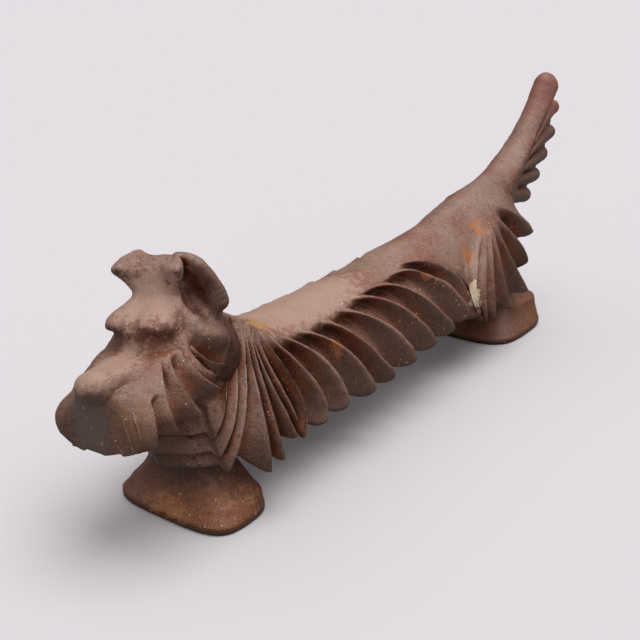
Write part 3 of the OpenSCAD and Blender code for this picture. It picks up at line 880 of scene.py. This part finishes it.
def flare(z, rim, top, power):
    """Share of the flare left at height z, from a rim up to the neck."""
    return np.clip(1 - (z - rim) / (top - rim), 0, 1) ** power


def foot_ring(z, half, heel, inset, steps=120):
    """Outline of a foot at height z, which stays wide for longer at its back."""
    a = np.linspace(0, 2 * math.pi, steps, endpoint=False)
    c, s = np.cos(a), np.sin(a)
    front, back = flare(z, FOOT_RIM, SEAT_Z - 11, 2.2), flare(z, heel, SEAT_Z - 2, 1.7)
    share = mix(front, back, 0.5 + 0.5 * s)
    x = (mix(NECK_HALF[0], half[0], share) - inset) * np.sign(c) * abs(c) ** (2 / 3.6)
    y = (mix(NECK_HALF[1], half[1], share) - inset) * np.sign(s) * abs(s) ** (2 / 3.6)
    return np.stack([x, y, np.full(steps, float(z))], 1)


def make_foot(name, low, high, heel):
    centre = np.array([0, (low[1] + high[1]) / 2, 0])
    half = (high - low)[:2] / 2
    heights = np.concatenate([list(WORN), np.linspace(2, SEAT_Z - 1, 44),
                              [SEAT_Z - 0.4, SEAT_Z]])
    rings = [foot_ring(z, half, heel, WORN.get(z, 0)) + centre for z in heights]
    foot = skin(name, rings)
    roughen(foot, 0.45, lambda p: smooth(p[:, 2], 0, 2) * smooth(SEAT_Z - p[:, 2], 0, 3))
    inner = [foot_ring(z, half, heel, WALL - 0.5) + centre + [0, 0, 0 if z else -1]
             for z in np.linspace(0, SEAT_Z - FOOT_PLATE_T, 24)]
    pocket_x, pocket_y = POCKET_HALF
    pocket = block((-pocket_x, centre[1] - pocket_y, SEAT_Z - FOOT_PLATE_T - POCKET_H),
                   (pocket_x, centre[1] + pocket_y, SEAT_Z - FOOT_PLATE_T))
    tools = [skin("hollow", inner), skin("pocket", pocket)]
    for x in (-BOLT_X, BOLT_X):
        tools.append(skin("bore", rod((x, centre[1], SEAT_Z - FOOT_PLATE_T - 1), (0, 0, 1),
                                      BORE_D / 2, FOOT_PLATE_T + 2)))
    combine(foot, "DIFFERENCE", tools)
    return foot


# ---- materials ----

class Nodes:
    """Short calls for building a material's node tree."""

    def __init__(self, name):
        self.material = bpy.data.materials.new(name)
        self.material.use_nodes = True
        self.tree = self.material.node_tree
        self.tree.nodes.clear()
        self.where = self.add("ShaderNodeTexCoord").outputs["Object"]

    def add(self, kind, **values):
        node = self.tree.nodes.new(kind)
        for key, value in values.items():
            setattr(node, key, value)
        return node

    def link(self, source, target):
        self.tree.links.new(source, target)

    def noise(self, scale, detail=4.0, roughness=0.55):
        node = self.add("ShaderNodeTexNoise")
        node.inputs["Scale"].default_value = scale
        node.inputs["Detail"].default_value = detail
        node.inputs["Roughness"].default_value = roughness
        self.link(self.where, node.inputs["Vector"])
        return node.outputs["Fac"]

    def ramp(self, source, low, high, to_low=0.0, to_high=1.0):
        """Maps a value from low..high to to_low..to_high, smoothly."""
        node = self.add("ShaderNodeMapRange", interpolation_type="SMOOTHSTEP")
        for key, value in zip(("From Min", "From Max", "To Min", "To Max"),
                              (low, high, to_low, to_high)):
            node.inputs[key].default_value = value
        self.link(source, node.inputs["Value"])
        return node.outputs["Result"]

    def maths(self, operation, a, b):
        node = self.add("ShaderNodeMath", operation=operation)
        for socket, value in zip(node.inputs, (a, b)):
            if isinstance(value, (int, float)):
                socket.default_value = value
            else:
                self.link(value, socket)
        return node.outputs[0]

    def vector(self, operation, source, value=(0, 0, 0)):
        """Outputs of a vector operation with a value in millimetres."""
        node = self.add("ShaderNodeVectorMath", operation=operation)
        self.link(source, node.inputs[0])
        node.inputs[1].default_value = [v * MM for v in value]
        return node.outputs

    def mark(self, centre, half, ragged_by, ragged):
        """1 inside an oval round the centre in millimetres, with a ragged edge."""
        moved = self.vector("SUBTRACT", self.where, centre)[0]
        reach = self.vector("LENGTH", self.vector("DIVIDE", moved, half)[0])["Value"]
        noisy = self.maths("MULTIPLY", self.maths("SUBTRACT", ragged_by, 0.5), ragged * 4)
        return self.ramp(self.maths("ADD", reach, noisy), 1.1, 0.75, 0, 0.9)

    def specks(self, scale, size, chosen):
        """Small round bits, only where the share chosen is 1."""
        cells = self.add("ShaderNodeTexVoronoi")
        cells.inputs["Scale"].default_value = scale
        self.link(self.where, cells.inputs["Vector"])
        dots = self.ramp(cells.outputs["Distance"], size, size * 0.6)
        return self.maths("MULTIPLY", dots, chosen)

    def blend(self, share, a, b):
        """Colour a where share is 0 and b where it is 1."""
        node = self.add("ShaderNodeMix", data_type="RGBA")
        self.link(share, node.inputs[0])
        for socket, value in ((node.inputs[6], a), (node.inputs[7], b)):
            if isinstance(value, tuple):
                socket.default_value = (*value, 1)
            else:
                self.link(value, socket)
        return node.outputs[2]


# How far away a wall shades a groove, in metres
GROOVE_REACH = 0.013
ORANGE = (0.5, 0.2, 0.075)
EDGE_RUST_AND_HIGHLIGHT = (0.5, 0.29, 0.17)
GOLD = (0.62, 0.42, 0.22)
PAINTED_HIGHLIGHT = (0.55, 0.34, 0.265)
RED_SKIN = (0.38, 0.14, 0.105)
GOLD_RUST = (0.62, 0.3, 0.1)
CREAM = (0.95, 0.82, 0.6)
FLAKE = (0.72, 0.58, 0.46)
GREY_IRON = (0.18, 0.13, 0.115)
EAR_PAINTED_SHADE = (0.10, 0.035, 0.025)
WORN_GOLD = (0.26, 0.125, 0.07)
UNDER_BODY_SHADE = (0.10, 0.045, 0.032)
REAR_UNDER_BODY_SHADE = (0.10, 0.05, 0.035)

# Single stains and patches of painted highlight and shade: centre and half sizes in millimetres,
# colour, and how ragged
COAT_MARKS = [
    # Painted highlight, paler where the light falls most: the front of the back, the muzzle and
    # the forehead
    ((0, 80, 82), (26, 55, 16), PAINTED_HIGHLIGHT, 0.5),
    ((0, -50, 92), (13, 20, 14), PAINTED_HIGHLIGHT, 0.5),
    ((0, -22, 112), (20, 14, 16), PAINTED_HIGHLIGHT, 0.7),
    # Redder end of the tail
    ((0, 375, 155), (14, 30, 30), RED_SKIN, 0.5),
    # Flakes of rust behind the neck and on the ribs
    ((9, 37, 80), (6, 9, 8), GOLD_RUST, 1.4),
    ((25.1, 175.3, 71.9), (4, 4.5, 3.5), ORANGE, 0.6),
    ((30, 78, 64), (3, 3, 9), ORANGE, 1.0),
    # Worn gold on the right of the beard, grey front of the beard and painted shade inside the
    # ear
    ((20, -52, 68), (12, 10, 17), WORN_GOLD, 1.2),
    ((3, -61, 66), (11, 5, 17), GREY_IRON, 0.7),
    ((19, -7, 111), (7, 6, 12), EAR_PAINTED_SHADE, 0.4),
    # Stains on the haunch, and a blob of pale lime
    ((18, 250, 80), (7, 7, 8), ORANGE, 0.9),
    ((24, 226, 69), (5, 6, 10), ORANGE, 1.1),
    ((35, 218, 50), (5, 6, 10), CREAM, 0.5),
]
FOOT_MARKS = [
    # Orange rust low on the front foot, and painted shade under the body at the top of both
    ((2, -24, 8), (17, 9, 6), ORANGE, 1.0),
    ((24, 2, 9), (8, 12, 6), ORANGE, 1.0),
    ((0, 0, 29), (30, 22, 13), UNDER_BODY_SHADE, 0.5),
    ((0, REAR_Y, 33), (34, 26, 16), REAR_UNDER_BODY_SHADE, 0.5),
]


def iron(name, plain, pale, warm, side, rust, shade_and_dark_grain, metallic=0.0, marks=()):
    """Weathered cast iron: a mottled skin with painted shade on its sides, rust in the grooves,
    painted shade deepest in them, and rust with a painted highlight on sharp edges.

    marks are single stains and patches of painted highlight and shade, as in COAT_MARKS.
    """
    n = Nodes(name)
    geometry = n.add("ShaderNodeNewGeometry").outputs
    shape = geometry["Pointiness"]
    facing = n.add("ShaderNodeSeparateXYZ")
    n.link(geometry["Normal"], facing.inputs[0])
    shade = n.add("ShaderNodeAmbientOcclusion", samples=8)
    shade.inputs["Distance"].default_value = GROOVE_REACH
    open_share = shade.outputs["AO"]
    broad = n.noise(18, 4, 0.6)
    patch = n.noise(70, 6, 0.65)
    fine = n.noise(420, 4, 0.7)
    grain = n.noise(1500, 2, 0.6)
    colour = n.blend(n.ramp(broad, 0.36, 0.6), plain, pale)
    colour = n.blend(n.ramp(n.noise(33, 5, 0.6), 0.45, 0.62, 0, 0.85), colour, warm)
    colour = n.blend(n.ramp(patch, 0.52, 0.7, 0, 0.5), colour, pale)
    # Painted shade: the side colour where the surface faces sideways or down, away from the light
    # from above
    colour = n.blend(n.ramp(facing.outputs["Z"], 0.6, -0.05, 0, 0.85), colour, side)
    # Rust where the light half reaches, and painted shade, nearly black, where it doesn't
    half_deep = n.maths("MULTIPLY", n.ramp(open_share, 0.86, 0.6),
                        n.ramp(patch, 0.36, 0.58, 0.25, 0.95))
    colour = n.blend(half_deep, colour, rust)
    colour = n.blend(n.ramp(open_share, 0.66, 0.3, 0, 0.92), colour, shade_and_dark_grain)
    stain = n.maths("MULTIPLY", n.ramp(n.noise(52, 7, 0.7), 0.64, 0.7),
                    n.ramp(fine, 0.35, 0.55))
    colour = n.blend(n.maths("MULTIPLY", stain, 0.75), colour, ORANGE)
    # Rust on sharp edges, with a painted highlight along the crests
    edge = n.maths("MULTIPLY", n.ramp(shape, 0.525, 0.6), n.ramp(fine, 0.4, 0.6, 0.1, 0.75))
    colour = n.blend(edge, colour, EDGE_RUST_AND_HIGHLIGHT)
    colour = n.blend(n.ramp(fine, 0.3, 0.52, 0.45, 0.0), colour, shade_and_dark_grain)
    colour = n.blend(n.ramp(grain, 0.32, 0.5, 0.5, 0.0), colour, shade_and_dark_grain)
    colour = n.blend(n.ramp(grain, 0.6, 0.72, 0.0, 0.4), colour, GOLD)
    flaky = n.noise(230, 6, 0.8)
    for centre, half, tint, ragged in marks:
        colour = n.blend(n.mark(centre, half, flaky, ragged), colour, tint)
    speck = n.specks(330, 0.17, n.ramp(n.noise(70, 3), 0.53, 0.6))
    flake = n.maths("MULTIPLY", n.ramp(n.noise(330, 3, 0.7), 0.66, 0.7),
                    n.ramp(n.noise(45, 3), 0.53, 0.6))
    pale_bits = n.maths("MAXIMUM", speck, flake)
    colour = n.blend(pale_bits, colour, FLAKE)
    shader = n.add("ShaderNodeBsdfPrincipled")
    shader.inputs["Metallic"].default_value = metallic
    shader.inputs["Specular IOR Level"].default_value = 0.55
    n.link(colour, shader.inputs["Base Color"])
    n.link(n.ramp(patch, 0.3, 0.7, 0.34, 0.5), shader.inputs["Roughness"])
    height = n.maths("ADD", n.maths("MULTIPLY", grain, 0.5), n.maths("MULTIPLY", fine, 0.9))
    height = n.maths("ADD", height, n.maths("MULTIPLY", pale_bits, 0.5))
    bump = n.add("ShaderNodeBump")
    bump.inputs["Strength"].default_value = 0.6
    bump.inputs["Distance"].default_value = 0.0007
    n.link(height, bump.inputs["Height"])
    n.link(bump.outputs["Normal"], shader.inputs["Normal"])
    output = n.add("ShaderNodeOutputMaterial")
    n.link(shader.outputs["BSDF"], output.inputs["Surface"])
    return n.material


# ---- stage, light and camera ----

FLOOR_SIZE = 20
# Colour of the floor as the camera sees it, and in the light that it throws back
FLOOR_COLOUR = (0.80, 0.765, 0.795)
FLOOR_BOUNCE = (0.24, 0.22, 0.21)
# Strength of the room's light on the part, and of the backdrop as the camera sees it
ROOM_LIGHT = 0.06
BACKDROP = 0.775
ROOM_COLOUR = (1, 0.955, 0.99)
# Direction, strength and angle in degrees of each sun
SUNS = {"key": ((0.2, 0.06, 1.0), 1.5, 48), "top": ((0, -0.15, 1.0), 1.4, 135)}
CAMERA_AT = (0.297, -0.304, 0.257)
CAMERA_AZIMUTH = math.radians(36.0)
CAMERA_PITCH = math.radians(21.2)
CAMERA_LENS = 56.25
SENSOR = 36.0


def seen_directly(tree):
    """Socket that is 1 for what the camera sees, and 0 for light that falls on the part."""
    return tree.nodes.new("ShaderNodeLightPath").outputs["Is Camera Ray"]


def make_stage():
    bpy.ops.mesh.primitive_plane_add(size=FLOOR_SIZE, location=(0, 0, 0))
    floor = bpy.context.object
    floor.name = "floor"
    material = bpy.data.materials.new("floor")
    material.use_nodes = True
    tree = material.node_tree
    shader = tree.nodes["Principled BSDF"]
    seen = seen_directly(tree)
    colour = tree.nodes.new("ShaderNodeMix")
    colour.data_type = "RGBA"
    tree.links.new(seen, colour.inputs[0])
    colour.inputs[6].default_value = (*FLOOR_BOUNCE, 1)
    colour.inputs[7].default_value = (*FLOOR_COLOUR, 1)
    tree.links.new(colour.outputs[2], shader.inputs["Base Color"])
    shader.inputs["Roughness"].default_value = 1
    shader.inputs["Specular IOR Level"].default_value = 0
    floor.data.materials.append(material)


def add_sun(name, towards, strength, angle):
    """Sun that shines from the direction towards, in the row frame."""
    light = bpy.data.lights.new(name, "SUN")
    light.energy = strength
    light.angle = math.radians(angle)
    sun = bpy.data.objects.new(name, light)
    sun.rotation_mode = "QUATERNION"
    sun.rotation_quaternion = Vector(towards).to_track_quat("Z", "Y")
    bpy.context.scene.collection.objects.link(sun)


def make_lights():
    """Two soft lights from above and a weak room light, with a paler backdrop."""
    for name, values in SUNS.items():
        add_sun(name, *values)
    world = bpy.data.worlds.new("studio")
    world.use_nodes = True
    tree = world.node_tree
    background = tree.nodes["Background"]
    background.inputs["Color"].default_value = (*ROOM_COLOUR, 1)
    level = tree.nodes.new("ShaderNodeMapRange")
    level.inputs["To Min"].default_value = ROOM_LIGHT
    level.inputs["To Max"].default_value = BACKDROP
    tree.links.new(seen_directly(tree), level.inputs["Value"])
    tree.links.new(level.outputs["Result"], background.inputs["Strength"])
    bpy.context.scene.world = world


def make_camera():
    data = bpy.data.cameras.new("camera")
    data.lens = CAMERA_LENS
    data.sensor_width = SENSOR
    data.clip_start, data.clip_end = 0.01, 50
    camera = bpy.data.objects.new("camera", data)
    camera.location = CAMERA_AT
    level = math.cos(CAMERA_PITCH)
    look = Vector((-math.sin(CAMERA_AZIMUTH) * level, math.cos(CAMERA_AZIMUTH) * level,
                   -math.sin(CAMERA_PITCH)))
    camera.rotation_mode = "QUATERNION"
    camera.rotation_quaternion = look.to_track_quat("-Z", "Y")
    bpy.context.scene.collection.objects.link(camera)
    bpy.context.scene.camera = camera


# ---- assembly ----

def place(obj, node, slot, material):
    """Dresses a piece and puts it in the place of its CAD node."""
    obj.data.materials.clear()
    obj.data.materials.append(material)
    for polygon in obj.data.polygons:
        polygon.use_smooth = True
    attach(obj, "root")
    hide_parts(node)


bpy.context.scene.view_settings.view_transform = "Standard"
make_stage()
make_lights()
make_camera()

# In each iron, side is the painted shade of surfaces that face sideways or down
coat_iron = iron("coat_iron", plain=(0.30, 0.155, 0.112), pale=(0.42, 0.25, 0.19),
                 warm=(0.35, 0.13, 0.092), side=(0.15, 0.08, 0.054), rust=(0.32, 0.085, 0.032),
                 shade_and_dark_grain=(0.03, 0.015, 0.01), marks=COAT_MARKS)
foot_iron = iron("foot_iron", plain=(0.22, 0.08, 0.047), pale=(0.30, 0.125, 0.075),
                 warm=(0.36, 0.12, 0.05), side=(0.16, 0.068, 0.043), rust=(0.2, 0.075, 0.035),
                 shade_and_dark_grain=(0.035, 0.017, 0.012), marks=FOOT_MARKS)
bolt_steel = iron("bolt_steel", plain=(0.2, 0.16, 0.14), pale=(0.3, 0.25, 0.22),
                  warm=(0.2, 0.12, 0.09), side=(0.15, 0.11, 0.09), rust=(0.22, 0.09, 0.04),
                  shade_and_dark_grain=(0.05, 0.035, 0.03), metallic=0.6)

place(make_body(), "body_casting", "rusty_iron", coat_iron)
place(make_head(), "head_casting", "rusty_iron", coat_iron)
place(make_foot("front_flare", front_low, front_high, FRONT_HEEL), "front_foot",
      "orange_iron", foot_iron)
place(make_foot("rear_flare", rear_low, rear_high, REAR_HEEL), "rear_foot",
      "orange_iron", foot_iron)

for name, node in frame["nodes"].items():
    if not node.hide_render:
        node.data.materials.clear()
        node.data.materials.append(bolt_steel)

bpy.context.view_layer.update()
